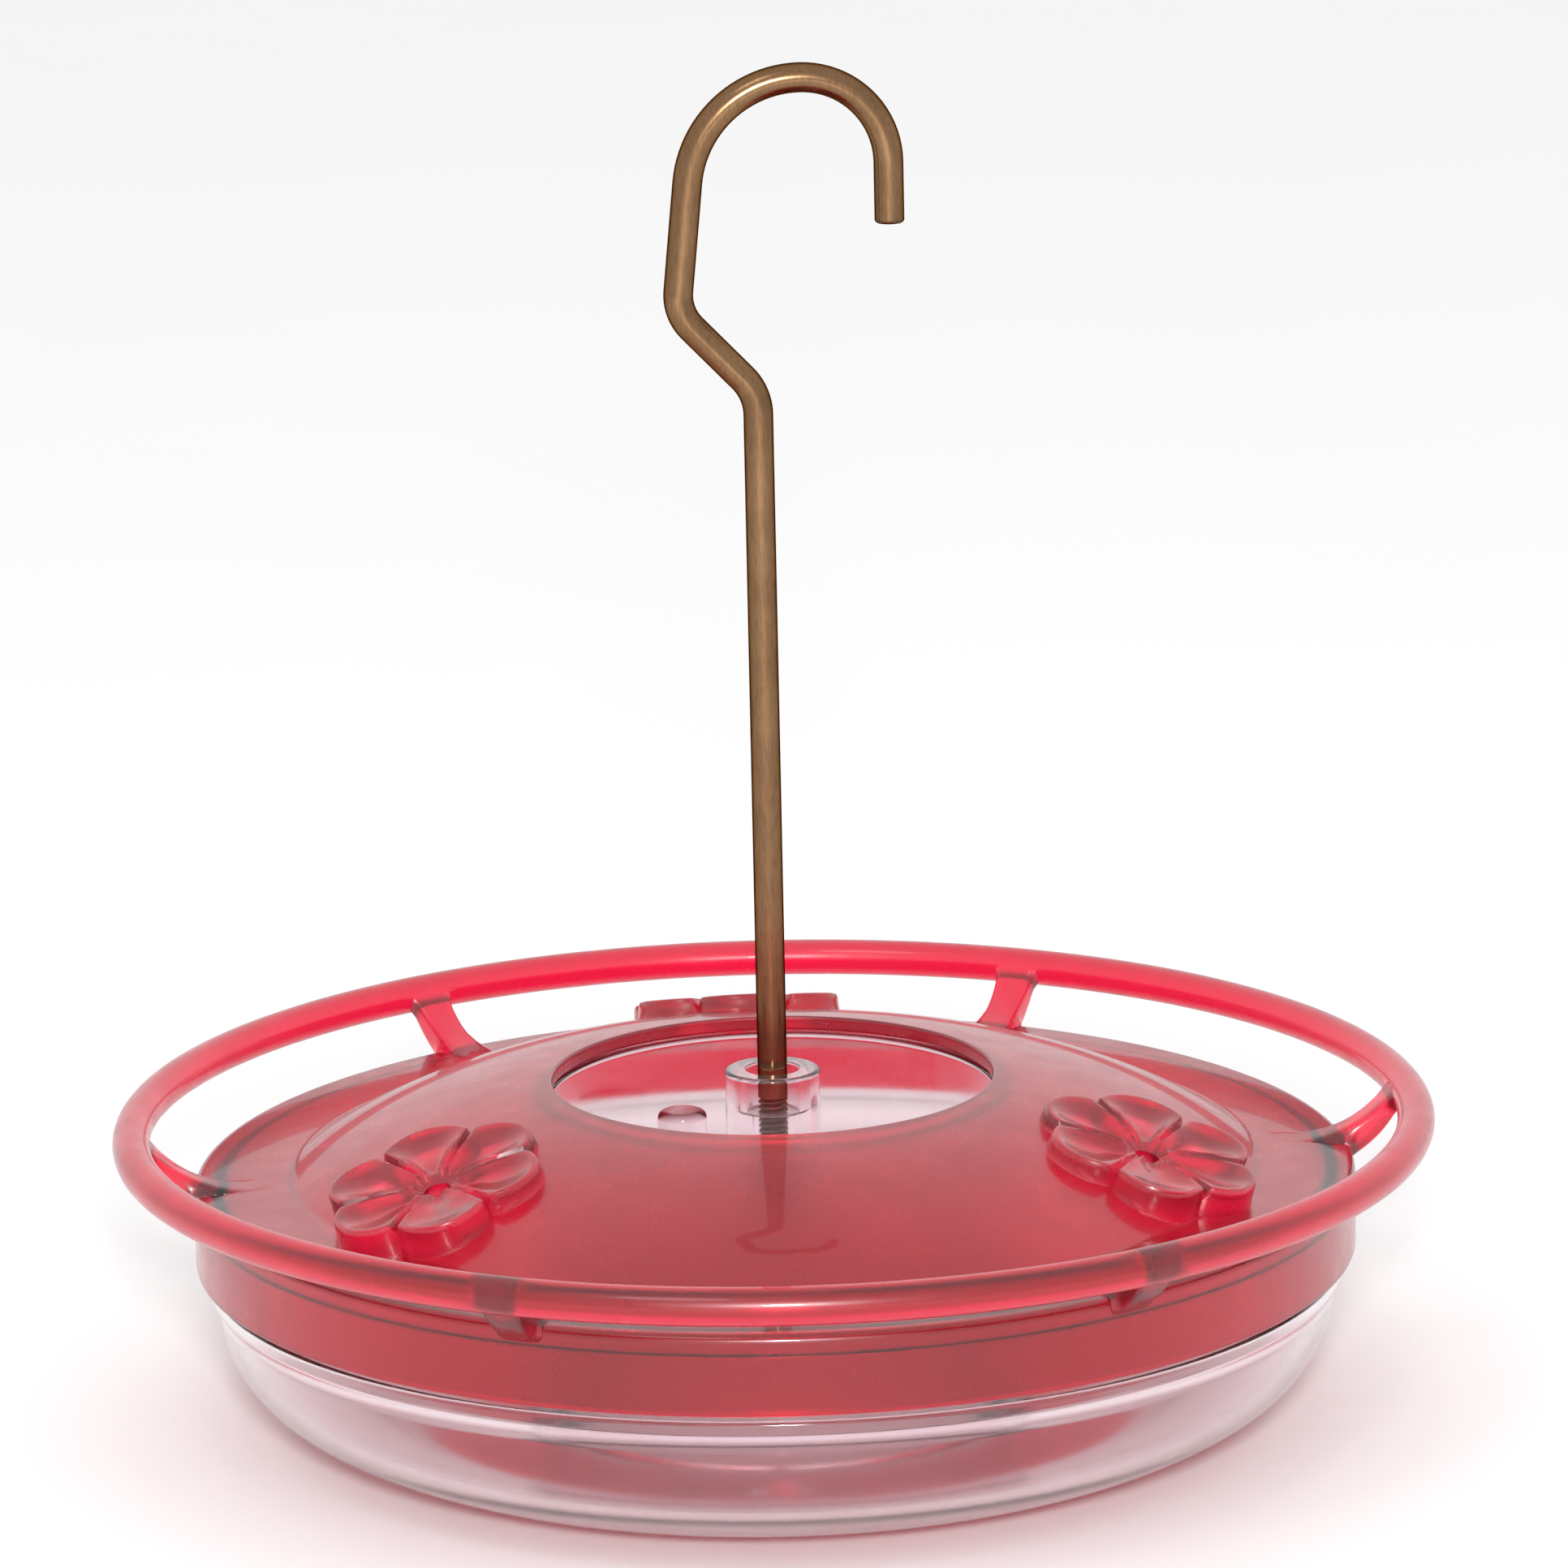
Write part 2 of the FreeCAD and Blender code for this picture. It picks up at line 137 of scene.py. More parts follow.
class FeederCoverSettings(bpy.types.PropertyGroup):
    clearance: length("Clearance", "Gap between the skirt and the bowl's neck", 0.35)
    wall: length("Wall", "Thickness of the cover", 2.0)
    skirt_bottom: length("Skirt bottom", "Height of the skirt's lower edge", 25.1)
    shoulder_height: length("Shoulder height", "Height of the shoulder", 36.3)
    shoulder_round: length("Shoulder round", "Radius of the shoulder", 1.2)
    flange_slope: angle("Flange slope", "Slope of the flange", 4.0)
    flange_underside: length("Flange underside", "Height under the flange", 34.4)
    foot_radius: length("Foot radius", "Radius where the dome meets the flange", 67.0)
    foot_round: length("Foot round", "Blend between dome and flange", 2.5)
    dome_arc: length("Dome arc", "Section radius of the dome", 88.0)
    hole_radius: length("Hole radius", "Radius of the hole", 30.7)
    hole_height: length("Hole height", "Height of the hole's edge", 49.5)
    perch_radius: length("Perch radius", "Centre line radius of the perch ring", 89.4)
    perch_section: length("Perch section", "Section radius of the perch ring", 2.6)
    perch_height: length("Perch height", "Height of the perch ring", 42.9)
    arm_width: length("Arm width", "Width of an arm at the ring", 6.0)
    arm_root_width: length("Arm root width", "Width of an arm at its root", 3.6)
    arm_root: length("Arm root", "Distance of an arm's root from the axis", 73.2)
    arm_drop: length("Arm drop", "How far an arm reaches down the skirt", 2.6)
    arm_count: IntProperty(name="Arms", description="Number of arms", default=6, min=3)
    tint: colour("Tint", "Colour of the red plastic", (0.955, 0.010, 0.056))
    steps: IntProperty(name="Steps", description="Segments round the axis", default=192, min=24)


class FeederFlowerSettings(bpy.types.PropertyGroup):
    count: IntProperty(name="Flowers", description="Number of flower ports", default=3, min=1)
    petals: IntProperty(name="Petals", description="Petals of a flower", default=6, min=3)
    first_angle: angle("First angle", "Direction of the first flower", 90.0)
    reach: length("Reach", "Distance of a flower from the axis", 56.8)
    rise: length("Rise", "Height of a flower's rim over the dome", 2.6)
    tilt: angle("Tilt", "Outward tilt of a flower", 18.0)
    petal_reach: length("Petal reach", "Radius of the whole flower", 15.7)
    petal_radius: length("Petal radius", "Radius of a petal's round end", 6.85)
    scoop: length("Scoop", "Depth of a petal's hollow", 1.5)
    groove: length("Groove", "Depth of the groove between petals", 1.5)
    port_radius: length("Port radius", "Radius of the port", 1.9)
    sectors: IntProperty(name="Sectors", description="Segments of a petal", default=36, min=8)


class FeederRodSettings(bpy.types.PropertyGroup):
    radius: length("Radius", "Radius of the rod", 2.05)
    foot: length("Foot", "Height of the rod's lower end", 27.0)
    thread_top: length("Thread top", "Height where the thread ends", 46.5)
    thread_pitch: length("Thread pitch", "Pitch of the thread", 0.8)
    slant_start: length("Slant start", "Height where the rod turns off", 145.9)
    slant: angle("Slant", "Angle of the slanted run", 43.4)
    lean: angle("Lean", "Lean of the hook's leg", 6.0)
    lower_bend: length("Lower bend", "Radius of the lower bend", 7.5)
    upper_bend: length("Upper bend", "Radius of the upper bend", 6.5)
    hook_offset: length("Hook offset", "Distance of the hook's top from the axis", 6.5)
    hook_top: length("Hook top", "Height of the hook's centre line", 189.2)
    hook_left: length("Hook left", "Radius of the hook next to its leg", 15.6)
    hook_right: length("Hook right", "Radius of the hook next to its tip", 12.0)
    tip: length("Tip", "Straight length before the hook's end", 8.4)
    # The brass tint is kept dark: painted shade standing in for the darker surroundings the rod
    # mirrors.
    tint: colour("Tint", "Colour of the brass", (0.225, 0.128, 0.066))
    segments: IntProperty(name="Segments", description="Segments round the rod", default=28, min=8)


class FeederStageSettings(bpy.types.PropertyGroup):
    distance: length("Distance", "Distance from the camera to its pivot", 1200.0)
    azimuth: angle("Azimuth", "Direction of the camera, negative to the left", -5.2)
    elevation: angle("Elevation", "Elevation of the camera", 15.7)
    roll: angle("Roll", "Roll of the camera", 1.2)
    pivot_height: length("Pivot height", "Height of the point the camera circles", 42.9)
    aim_height: length("Aim height", "Height in the middle of the picture", 90.9)
    aim_side: FloatProperty(
        name="Aim side", description="Sideways place of the picture's middle",
        default=2.45 * MM, unit="LENGTH", precision=5)
    focal_pixels: FloatProperty(
        name="Focal length", description="Focal length in pixels of the picture",
        default=10596.0, min=100.0)
    floor_size: length("Floor size", "Radius of the floor", 4000.0)


# Outlines in a vertical half plane, as points of radius and height

def arc(centre, radius, start, end, steps):
    """Points of an arc from start to end, in degrees."""
    points = []
    for index in range(steps + 1):
        turn = math.radians(start + (end - start) * index / steps)
        points.append((centre[0] + radius * math.cos(turn), centre[1] + radius * math.sin(turn)))
    return points


def rounded(corners, steps=5):
    """Outline through corners of (radius, height, rounding); the ends are left as they are.

    A point close before and after each round keeps the flats between them evenly shaded.
    """
    points = [corners[0][:2]]
    for before, corner, after in zip(corners, corners[1:], corners[2:]):
        here = Vector(corner[:2])
        rounding = corner[2] if len(corner) > 2 else 0.0
        if not rounding:
            points.append(tuple(here))
            continue
        back = (Vector(before[:2]) - here).normalized()
        forth = (Vector(after[:2]) - here).normalized()
        half = back.angle(forth) / 2
        reach = rounding / math.tan(half)
        centre = here + (back + forth).normalized() * (rounding / math.sin(half))
        start = here + back * reach - centre
        end = here + forth * reach - centre
        margin = min(0.2 * MM, rounding * 0.5)
        points.append(tuple(centre + start + back * margin))
        for index in range(steps + 1):
            swing = start.slerp(end, index / steps)
            points.append(tuple(centre + swing * rounding))
        points.append(tuple(centre + end + forth * margin))
    points.append(corners[-1][:2])
    return points


def joined(*runs):
    """One outline from several, without points that repeat."""
    points = []
    for run in runs:
        for point in run:
            if not points or (Vector(point) - Vector(points[-1])).length > 1e-7:
                points.append(point)
    return points


# Mesh helpers

def new_object(name, bm):
    """Object at the origin with the mesh of bm, shaded smooth up to the sharp angle."""
    mesh = bpy.data.meshes.new(name)
    bm.to_mesh(mesh)
    bm.free()
    obj = bpy.data.objects.new(name, mesh)
    bpy.context.scene.collection.objects.link(obj)
    smooth(obj)
    return obj


def smooth(obj):
    mesh = obj.data
    mesh.polygons.foreach_set("use_smooth", [True] * len(mesh.polygons))
    mesh.set_sharp_from_angle(angle=SHARP_ANGLE)


def lathe(points, steps, closed=True):
    """Bmesh turned about Z from an outline, closed where the outline is."""
    bm = bmesh.new()
    verts = [bm.verts.new((radius, 0, height)) for radius, height in points]
    edges = [bm.edges.new(pair) for pair in zip(verts, verts[1:])]
    if closed:
        edges.append(bm.edges.new((verts[-1], verts[0])))
    bmesh.ops.spin(
        bm, geom=verts + edges, cent=(0, 0, 0), axis=(0, 0, 1),
        angle=math.tau, steps=steps, use_merge=True, use_duplicate=False)
    bmesh.ops.remove_doubles(bm, verts=bm.verts, dist=1e-7)
    bmesh.ops.dissolve_degenerate(bm, edges=bm.edges, dist=1e-7)
    bmesh.ops.recalc_face_normals(bm, faces=bm.faces)
    return bm


def combine(obj, operation, tools):
    """Adds or cuts the tools with an exact boolean and deletes them."""
    group = bpy.data.collections.new("tools")
    bpy.context.scene.collection.children.link(group)
    for tool in tools:
        group.objects.link(tool)
    modifier = obj.modifiers.new(operation.lower(), "BOOLEAN")
    modifier.operation = operation
    modifier.solver = "EXACT"
    modifier.operand_type = "COLLECTION"
    modifier.collection = group
    evaluated = obj.evaluated_get(bpy.context.evaluated_depsgraph_get())
    mesh = bpy.data.meshes.new_from_object(evaluated)
    obj.modifiers.remove(modifier)
    old = obj.data
    obj.data = mesh
    mesh.name = obj.name
    bpy.data.meshes.remove(old)
    for tool in tools:
        bpy.data.objects.remove(tool)
    bpy.data.collections.remove(group)
    smooth(obj)


def clean(obj):
    """Merges what the booleans left within a hundredth of a millimetre."""
    bm = bmesh.new()
    bm.from_mesh(obj.data)
    bmesh.ops.remove_doubles(bm, verts=bm.verts, dist=0.004 * MM)
    bmesh.ops.dissolve_degenerate(bm, edges=bm.edges, dist=0.002 * MM)
    bm.to_mesh(obj.data)
    bm.free()
    smooth(obj)


def finish_piece(obj, body, slot, material, *nodes):
    obj.data.materials.clear()
    obj.data.materials.append(material)
    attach(obj, body)
    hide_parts(*nodes)


# Materials

class NodeTree:
    """Short names for making and joining shader nodes."""

    def __init__(self, name):
        self.material = bpy.data.materials.new(name)
        self.material.use_nodes = True
        self.tree = self.material.node_tree
        self.tree.nodes.clear()

    def add(self, kind, **values):
        node = self.tree.nodes.new(kind)
        for key, value in values.items():
            if key in node.inputs:
                node.inputs[key].default_value = value
            else:
                setattr(node, key, value)
        return node

    def link(self, source, output, target, socket):
        self.tree.links.new(source.outputs[output], target.inputs[socket])


def noise(nodes, coordinates, scale, detail=3.0, roughness=0.5, stretch=None):
    """Noise on object coordinates, optionally stretched."""
    source = coordinates
    output = "Object"
    if stretch:
        mapping = nodes.add("ShaderNodeMapping")
        mapping.inputs["Scale"].default_value = stretch
        nodes.link(coordinates, "Object", mapping, "Vector")
        source = mapping
        output = "Vector"
    texture = nodes.add("ShaderNodeTexNoise")
    texture.inputs["Scale"].default_value = scale
    texture.inputs["Detail"].default_value = detail
    texture.inputs["Roughness"].default_value = roughness
    nodes.link(source, output, texture, "Vector")
    return texture


def ramp(nodes, source, output, stops):
    """Colour ramp over a value, with stops of (place, colour)."""
    node = nodes.add("ShaderNodeValToRGB")
    nodes.link(source, output, node, "Fac")
    elements = node.color_ramp.elements
    while len(elements) < len(stops):
        elements.new(0.5)
    for element, (place, value) in zip(elements, stops):
        element.position = place
        element.color = (*value, 1.0)
    return node


def spread(nodes, source, output, low, high, start=0.0, end=1.0):
    node = nodes.add("ShaderNodeMapRange")
    node.inputs["From Min"].default_value = start
    node.inputs["From Max"].default_value = end
    node.inputs["To Min"].default_value = low
    node.inputs["To Max"].default_value = high
    nodes.link(source, output, node, "Value")
    return node


def scaled(tint, factor):
    return tuple(min(1.0, channel * factor) for channel in tint)


def plastic(name, tint, shade, blur, ior):
    """See-through moulded plastic with faint flow marks, cloudy under a glossy skin."""
    nodes = NodeTree(name)
    coordinates = nodes.add("ShaderNodeTexCoord")
    shader = nodes.add("ShaderNodeBsdfPrincipled")
    shader.inputs["IOR"].default_value = ior
    shader.inputs["Transmission Weight"].default_value = 1.0
    shader.inputs["Specular IOR Level"].default_value = 0.0
    shader.inputs["Coat Weight"].default_value = GLOSS_WEIGHT
    shader.inputs["Coat Roughness"].default_value = 0.03
    shader.inputs["Coat IOR"].default_value = PLASTIC_IOR
    flow = noise(nodes, coordinates, 38.0, 3.0, 0.5)
    tone = ramp(nodes, flow, "Fac", [(0.3, scaled(tint, shade)), (0.7, tint)])
    nodes.link(tone, "Color", shader, "Base Color")
    haze = noise(nodes, coordinates, 160.0, 4.0, 0.6)
    polish = spread(nodes, haze, "Fac", blur * 0.85, blur * 1.2, 0.35, 0.7)
    nodes.link(polish, "Result", shader, "Roughness")
    waves = noise(nodes, coordinates, 46.0, 1.0, 0.3)
    bump = nodes.add("ShaderNodeBump")
    bump.inputs["Strength"].default_value = 0.3
    bump.inputs["Distance"].default_value = WAVE_DEPTH
    nodes.link(waves, "Fac", bump, "Height")
    nodes.link(bump, "Normal", shader, "Normal")
    nodes.link(bump, "Normal", shader, "Coat Normal")
    output = nodes.add("ShaderNodeOutputMaterial")
    nodes.link(shader, "BSDF", output, "Surface")
    return nodes.material


def brass(name, tint):
    """Drawn brass wire, browned by age, with fine lines along it. Its tint is kept darker than bare
    brass, painted shade for the darker surroundings the rod mirrors, and its dark edge tint paints
    shade along the rod's edges.
    """
    nodes = NodeTree(name)
    coordinates = nodes.add("ShaderNodeTexCoord")
    shader = nodes.add("ShaderNodeBsdfPrincipled")
    shader.inputs["Metallic"].default_value = 1.0
    # Dark edge tint: painted shade along the rod's edges.
    shader.inputs["Specular Tint"].default_value = (0.10, 0.06, 0.04, 1.0)
    patches = noise(nodes, coordinates, 120.0, 4.0, 0.55)
    tone = ramp(nodes, patches, "Fac", [
        (0.30, scaled(tint, 0.82)), (0.5, tint), (0.72, scaled(tint, 1.12))])
    grain = noise(nodes, coordinates, 1.0, 2.0, 0.6, stretch=(3200.0, 3200.0, 420.0))
    fine = ramp(nodes, grain, "Fac", [(0.30, (0.80, 0.78, 0.76)), (0.60, (1.0, 1.0, 1.0))])
    mixed = nodes.add("ShaderNodeMix", data_type="RGBA", blend_type="MULTIPLY")
    mixed.inputs["Factor"].default_value = 1.0
    nodes.tree.links.new(tone.outputs["Color"], mixed.inputs[MIX_A])
    nodes.tree.links.new(fine.outputs["Color"], mixed.inputs[MIX_B])
    nodes.tree.links.new(mixed.outputs[MIX_RESULT], shader.inputs["Base Color"])
    polish = spread(nodes, patches, "Fac", 0.27, 0.18, 0.3, 0.7)
    nodes.link(polish, "Result", shader, "Roughness")
    lines = noise(nodes, coordinates, 1.0, 3.0, 0.6, stretch=(2600.0, 2600.0, 60.0))
    bump = nodes.add("ShaderNodeBump")
    bump.inputs["Strength"].default_value = 0.2
    bump.inputs["Distance"].default_value = 0.015 * MM
    nodes.link(lines, "Fac", bump, "Height")
    nodes.link(bump, "Normal", shader, "Normal")
    output = nodes.add("ShaderNodeOutputMaterial")
    nodes.link(shader, "BSDF", output, "Surface")
    return nodes.material


# Shapes shared by the pieces

def plain(settings):
    """The settings as plain numbers, which are quicker to read."""
    values = SimpleNamespace()
    for key in settings.__annotations__:
        setattr(values, key, getattr(settings, key))
    return values


class Dome:
    """Sections of the cover's dome and flange."""

    def __init__(self, cover, bowl):
        self.cover = cover
        self.skirt = bowl.neck_radius + cover.clearance + cover.wall
        hole = Vector((cover.hole_radius, cover.hole_height))
        foot = Vector((cover.foot_radius, self.flange(cover.foot_radius)))
        chord = foot - hole
        down = Vector((chord.y, -chord.x)).normalized()
        if down.y > 0:
            down = -down
        fall = math.sqrt(cover.dome_arc ** 2 - (chord.length / 2) ** 2)
        self.centre = (hole + foot) / 2 + down * fall

    def flange(self, radius):
        """Height of the flange's top at a radius."""
        return self.cover.shoulder_height + math.tan(self.cover.flange_slope) * (
            self.skirt - radius)

    def height(self, radius, depth=0.0):
        """Height of the dome at a radius, depth below its top."""
        reach = self.cover.dome_arc - depth
        return self.centre.y + math.sqrt(max(0.0, reach ** 2 - (radius - self.centre.x) ** 2))

    def points(self, start, end, depth, steps):
        """Points of the section between two radii."""
        reach = self.cover.dome_arc - depth
        first = math.degrees(math.acos((start - self.centre.x) / reach))
        last = math.degrees(math.acos((end - self.centre.x) / reach))
        return arc(self.centre, reach, first, last, steps)

    def middle(self, point):
        """Height inside the wall under a point."""
        radius = math.hypot(point.x, point.y)
        return max(
            self.height(radius, self.cover.wall / 2),
            self.cover.flange_underside + self.cover.wall / 2)

    def below(self, point):
        """Height a little under the dome below a point."""
        return self.height(math.hypot(point.x, point.y), self.cover.wall) - 0.5 * MM


# Bowl

def bowl_side(bowl, depth, steps):
    """The two tangent arcs of the bowl's side, moved inward by depth."""
    fall = bowl.base_arc - bowl.side_height
    gap = bowl.base_arc - bowl.side_arc
    side_x = bowl.base_radius + math.sqrt(gap ** 2 - fall ** 2)
    meet = math.degrees(math.atan2(-fall, side_x - bowl.base_radius))
    lower = arc((bowl.base_radius, bowl.base_arc), bowl.base_arc - depth, -90, meet, steps)
    upper = arc((side_x, bowl.side_height), bowl.side_arc - depth, meet, 0, steps)
    return joined(lower, upper)


def bowl_outline(bowl, dome, rod):
    outer = bowl_side(bowl, 0.0, 18)
    inner = list(reversed(bowl_side(bowl, bowl.wall, 18)))
    ledge = bowl.neck_radius + bowl.ledge_step
    neck_inner = bowl.neck_radius - bowl.neck_wall
    moat_outer = bowl.moat_radius + bowl.moat_wall
    moat_rim = dome.height(moat_outer, dome.cover.wall) - 0.5 * MM
    moat_foot = bowl.moat_radius - bowl.moat_draft
    floor_under = bowl.moat_floor - bowl.moat_floor_wall
    recess_foot = bowl.moat_radius + bowl.moat_draft / 2
    bore = rod.radius + 0.05 * MM
    neck = rounded([
        outer[-1], (ledge, bowl.ledge_height - 1.8 * MM, 1.2 * MM),
        (ledge, bowl.ledge_height, 0.6 * MM), (bowl.neck_radius, bowl.ledge_height),
        (bowl.neck_radius, bowl.rim_height, 0.3 * MM), (neck_inner, bowl.rim_height, 0.3 * MM),
        inner[0]])
    moat = rounded([
        inner[-1], (moat_outer + bowl.moat_draft, bowl.wall, 3.0 * MM),
        (moat_outer, moat_rim, 0.6 * MM), (bowl.moat_radius, moat_rim, 0.6 * MM),
        (moat_foot, bowl.moat_floor, 1.5 * MM), (bowl.post_radius, bowl.moat_floor, 0.8 * MM),
        (bowl.post_radius, bowl.post_height, 0.5 * MM),
        (bowl.recess_radius, bowl.post_height, 0.3 * MM),
        (bowl.recess_radius, bowl.post_height - bowl.recess_depth, 0.4 * MM),
        (bore, bowl.post_height - bowl.recess_depth), (bore, rod.foot), (0.0, rod.foot)])
    under = rounded([
        (0.0, floor_under), (moat_foot, floor_under, 1.5 * MM), (recess_foot, 0.0, 0.6 * MM),
        outer[0]])
    return joined(under, outer, neck, inner, moat)


class FEEDER_OT_bowl(bpy.types.Operator):
    """Build the clear bowl with its moat, post and boss"""
    bl_idname = "feeder.bowl"
    bl_label = "Bowl"
    bl_options = {"REGISTER", "UNDO"}

    def execute(self, context):
        bowl = plain(context.scene.feeder_bowl)
        dome = Dome(plain(context.scene.feeder_cover), bowl)
        outline = bowl_outline(bowl, dome, plain(context.scene.feeder_rod))
        obj = new_object("clear_bowl", lathe(outline, bowl.steps, closed=False))
        sunk = bowl.moat_floor - 1.2 * MM
        section = rounded([
            (0.0, sunk), (bowl.boss_radius, sunk),
            (bowl.boss_radius, bowl.boss_height, 1.1 * MM), (0.0, bowl.boss_height)])
        boss = lathe(section, 48, closed=False)
        turn = Matrix.Rotation(bowl.boss_angle, 4, "Z")
        place = turn @ Matrix.Translation((bowl.boss_reach, 0, 0))
        bmesh.ops.transform(boss, matrix=place, verts=boss.verts)
        combine(obj, "UNION", [new_object("boss", boss)])
        clean(obj)
        # Pink cast in the clear plastic's tint: painted light standing in for red light from the
        # cover.
        material = plastic("clear_plastic", tuple(bowl.tint), 0.985, 0.10, CLEAR_IOR)
        finish_piece(obj, "bowl_body", "clear_plastic", material, "bowl")
        return {"FINISHED"}


# Cover

def shell_outline(dome, bowl):
    cover = dome.cover
    skirt = dome.skirt
    inside = skirt - cover.wall
    neck_inner = bowl.neck_radius - bowl.neck_wall
    inner_foot = dome.centre.x + math.sqrt(
        (cover.dome_arc - cover.wall) ** 2 - (cover.flange_underside - dome.centre.y) ** 2)
    top = dome.points(cover.hole_radius, cover.foot_radius, 0.0, 26)
    under = dome.points(inner_foot, cover.hole_radius, cover.wall, 22)
    outer = rounded([
        top[-2], (*top[-1], cover.foot_round), (skirt, cover.shoulder_height, cover.shoulder_round),
        (skirt, cover.skirt_bottom, 0.4 * MM), (inside, cover.skirt_bottom, 0.4 * MM),
        (inside, bowl.rim_height), (neck_inner, bowl.rim_height),
        (neck_inner, cover.flange_underside), under[0]], steps=6)
    edge = rounded([under[-2], (*under[-1], 0.3 * MM), (*top[0], 0.4 * MM), top[1]])
    return joined(edge[1:-1], top[1:-2], outer, under[1:-2])


def perch_ring(cover):
    bm = bmesh.new()
    place = Matrix.Translation((cover.perch_radius, 0, cover.perch_height)) @ Matrix.Rotation(
        math.pi / 2, 4, "X")
    bmesh.ops.create_circle(bm, segments=24, radius=cover.perch_section, matrix=place)
    bmesh.ops.spin(
        bm, geom=bm.verts[:] + bm.edges[:], cent=(0, 0, 0), axis=(0, 0, 1),
        angle=math.tau, steps=cover.steps, use_merge=True, use_duplicate=False)
    bmesh.ops.recalc_face_normals(bm, faces=bm.faces)
    return new_object("ring", bm)


def circle_through(start, middle, end):
    """Centre and radius of the circle through three points."""
    rows = Matrix((
        (2 * (middle[0] - start[0]), 2 * (middle[1] - start[1])),
        (2 * (end[0] - start[0]), 2 * (end[1] - start[1]))))
    squares = Vector((
        middle[0] ** 2 - start[0] ** 2 + middle[1] ** 2 - start[1] ** 2,
        end[0] ** 2 - start[0] ** 2 + end[1] ** 2 - start[1] ** 2))
    centre = rows.inverted() @ squares
    return centre, (centre - Vector(start)).length


def arm_heights(dome):
    """Functions for the height of an arm's top and underside at a radius."""
    cover = dome.cover
    ring_inner = cover.perch_radius - cover.perch_section
    root = (cover.arm_root, dome.flange(cover.arm_root))
    ring_top = (ring_inner + 0.4 * MM, cover.perch_height + cover.perch_section * 0.45)
    ring_under = (ring_inner + 0.9 * MM, cover.perch_height - cover.perch_section * 0.75)
    foot = (dome.skirt - 0.6 * MM, cover.shoulder_height - cover.arm_drop)
    top_middle = (
        (root[0] + ring_top[0]) / 2 + 0.855 * MM, (root[1] + ring_top[1]) / 2 - 1.71 * MM)
    under_middle = (
        (foot[0] + ring_under[0]) / 2 + 0.54 * MM, (foot[1] + ring_under[1]) / 2 - 0.72 * MM)
    top_centre, top_radius = circle_through(root, top_middle, ring_top)
    low_centre, low_radius = circle_through(foot, under_middle, ring_under)

    def top(radius):
        reach = min(max(radius, root[0]), ring_top[0])
        return top_centre.y - math.sqrt(max(0.0, top_radius ** 2 - (reach - top_centre.x) ** 2))

    def under(radius):
        if radius < foot[0]:
            return cover.flange_underside + 0.6 * MM
        reach = min(radius, ring_under[0])
        return low_centre.y - math.sqrt(max(0.0, low_radius ** 2 - (reach - low_centre.x) ** 2))

    return top, under


def shell_distance(dome, point):
    """Distance of a point outside the cover from its flange or skirt."""
    over = point.z - dome.flange(min(point.x, dome.skirt))
    beyond = point.x - dome.skirt
    if beyond > 0 and over > 0:
        return math.hypot(over, beyond)
    return max(over, beyond, 0.0)


def arm(dome, turn):
    """One arm, drawn out through upright sections and flared where it meets the rest."""
    cover = dome.cover
    top, under = arm_heights(dome)
    start = cover.arm_root - 0.6 * MM
    end = cover.perch_radius
    stations = 34
    bm = bmesh.new()
    bmesh.ops.create_grid(bm, x_segments=8, y_segments=8, size=1.0)
    rim = bmesh.ops.extrude_face_region(bm, geom=bm.faces[:])
    first = [v for v in rim["geom"] if isinstance(v, bmesh.types.BMVert)]
    bmesh.ops.translate(bm, verts=first, vec=(0, 0, 1))
    walls = [edge for edge in bm.edges if abs(edge.verts[0].co.z - edge.verts[1].co.z) > 0.5]
    bmesh.ops.subdivide_edges(bm, edges=walls, cuts=stations - 1, use_grid_fill=True)
    for vert in bm.verts:
        across, up, along = vert.co
        radius = start + (end - start) * along
        share = (radius - cover.arm_root) / (cover.perch_radius - cover.arm_root)
        half = (cover.arm_root_width + (cover.arm_width - cover.arm_root_width) * share) / 2
        corner = max(abs(across), abs(up))
        soften = (abs(across) ** 5 + abs(up) ** 5) ** 0.2 if corner > 0 else 1.0
        shrink = corner / soften if soften > 0 else 1.0
        across *= shrink
        up *= shrink
        low = under(radius)
        high = max(top(radius), low + 0.2 * MM)
        height = (low + high) / 2 + (high - low) / 2 * up
        here = Vector((radius, 0, height))
        near_shell = math.exp(-shell_distance(dome, here) / (0.8 * MM))
        ring_gap = Vector((radius - cover.perch_radius, height - cover.perch_height)).length
        near_ring = math.exp(-max(0.0, ring_gap - cover.perch_section) / (0.6 * MM))
        half += (1.0 * near_shell + 0.7 * near_ring) * MM
        vert.co = Vector((radius, half * across, height))
    bmesh.ops.recalc_face_normals(bm, faces=bm.faces)
    bmesh.ops.rotate(bm, verts=bm.verts, cent=(0, 0, 0), matrix=Matrix.Rotation(turn, 3, "Z"))
    return new_object("arm", bm)


def petal_edge(flower, offset):
    """Distance of a petal's edge from the flower's centre, offset from the petal's axis."""
    centre = flower.petal_reach - flower.petal_radius
    side = centre * math.sin(offset)
    return centre * math.cos(offset) + math.sqrt(max(0.0, flower.petal_radius ** 2 - side ** 2))


def smoothstep(value):
    value = min(1.0, max(0.0, value))
    return value * value * (3 - 2 * value)


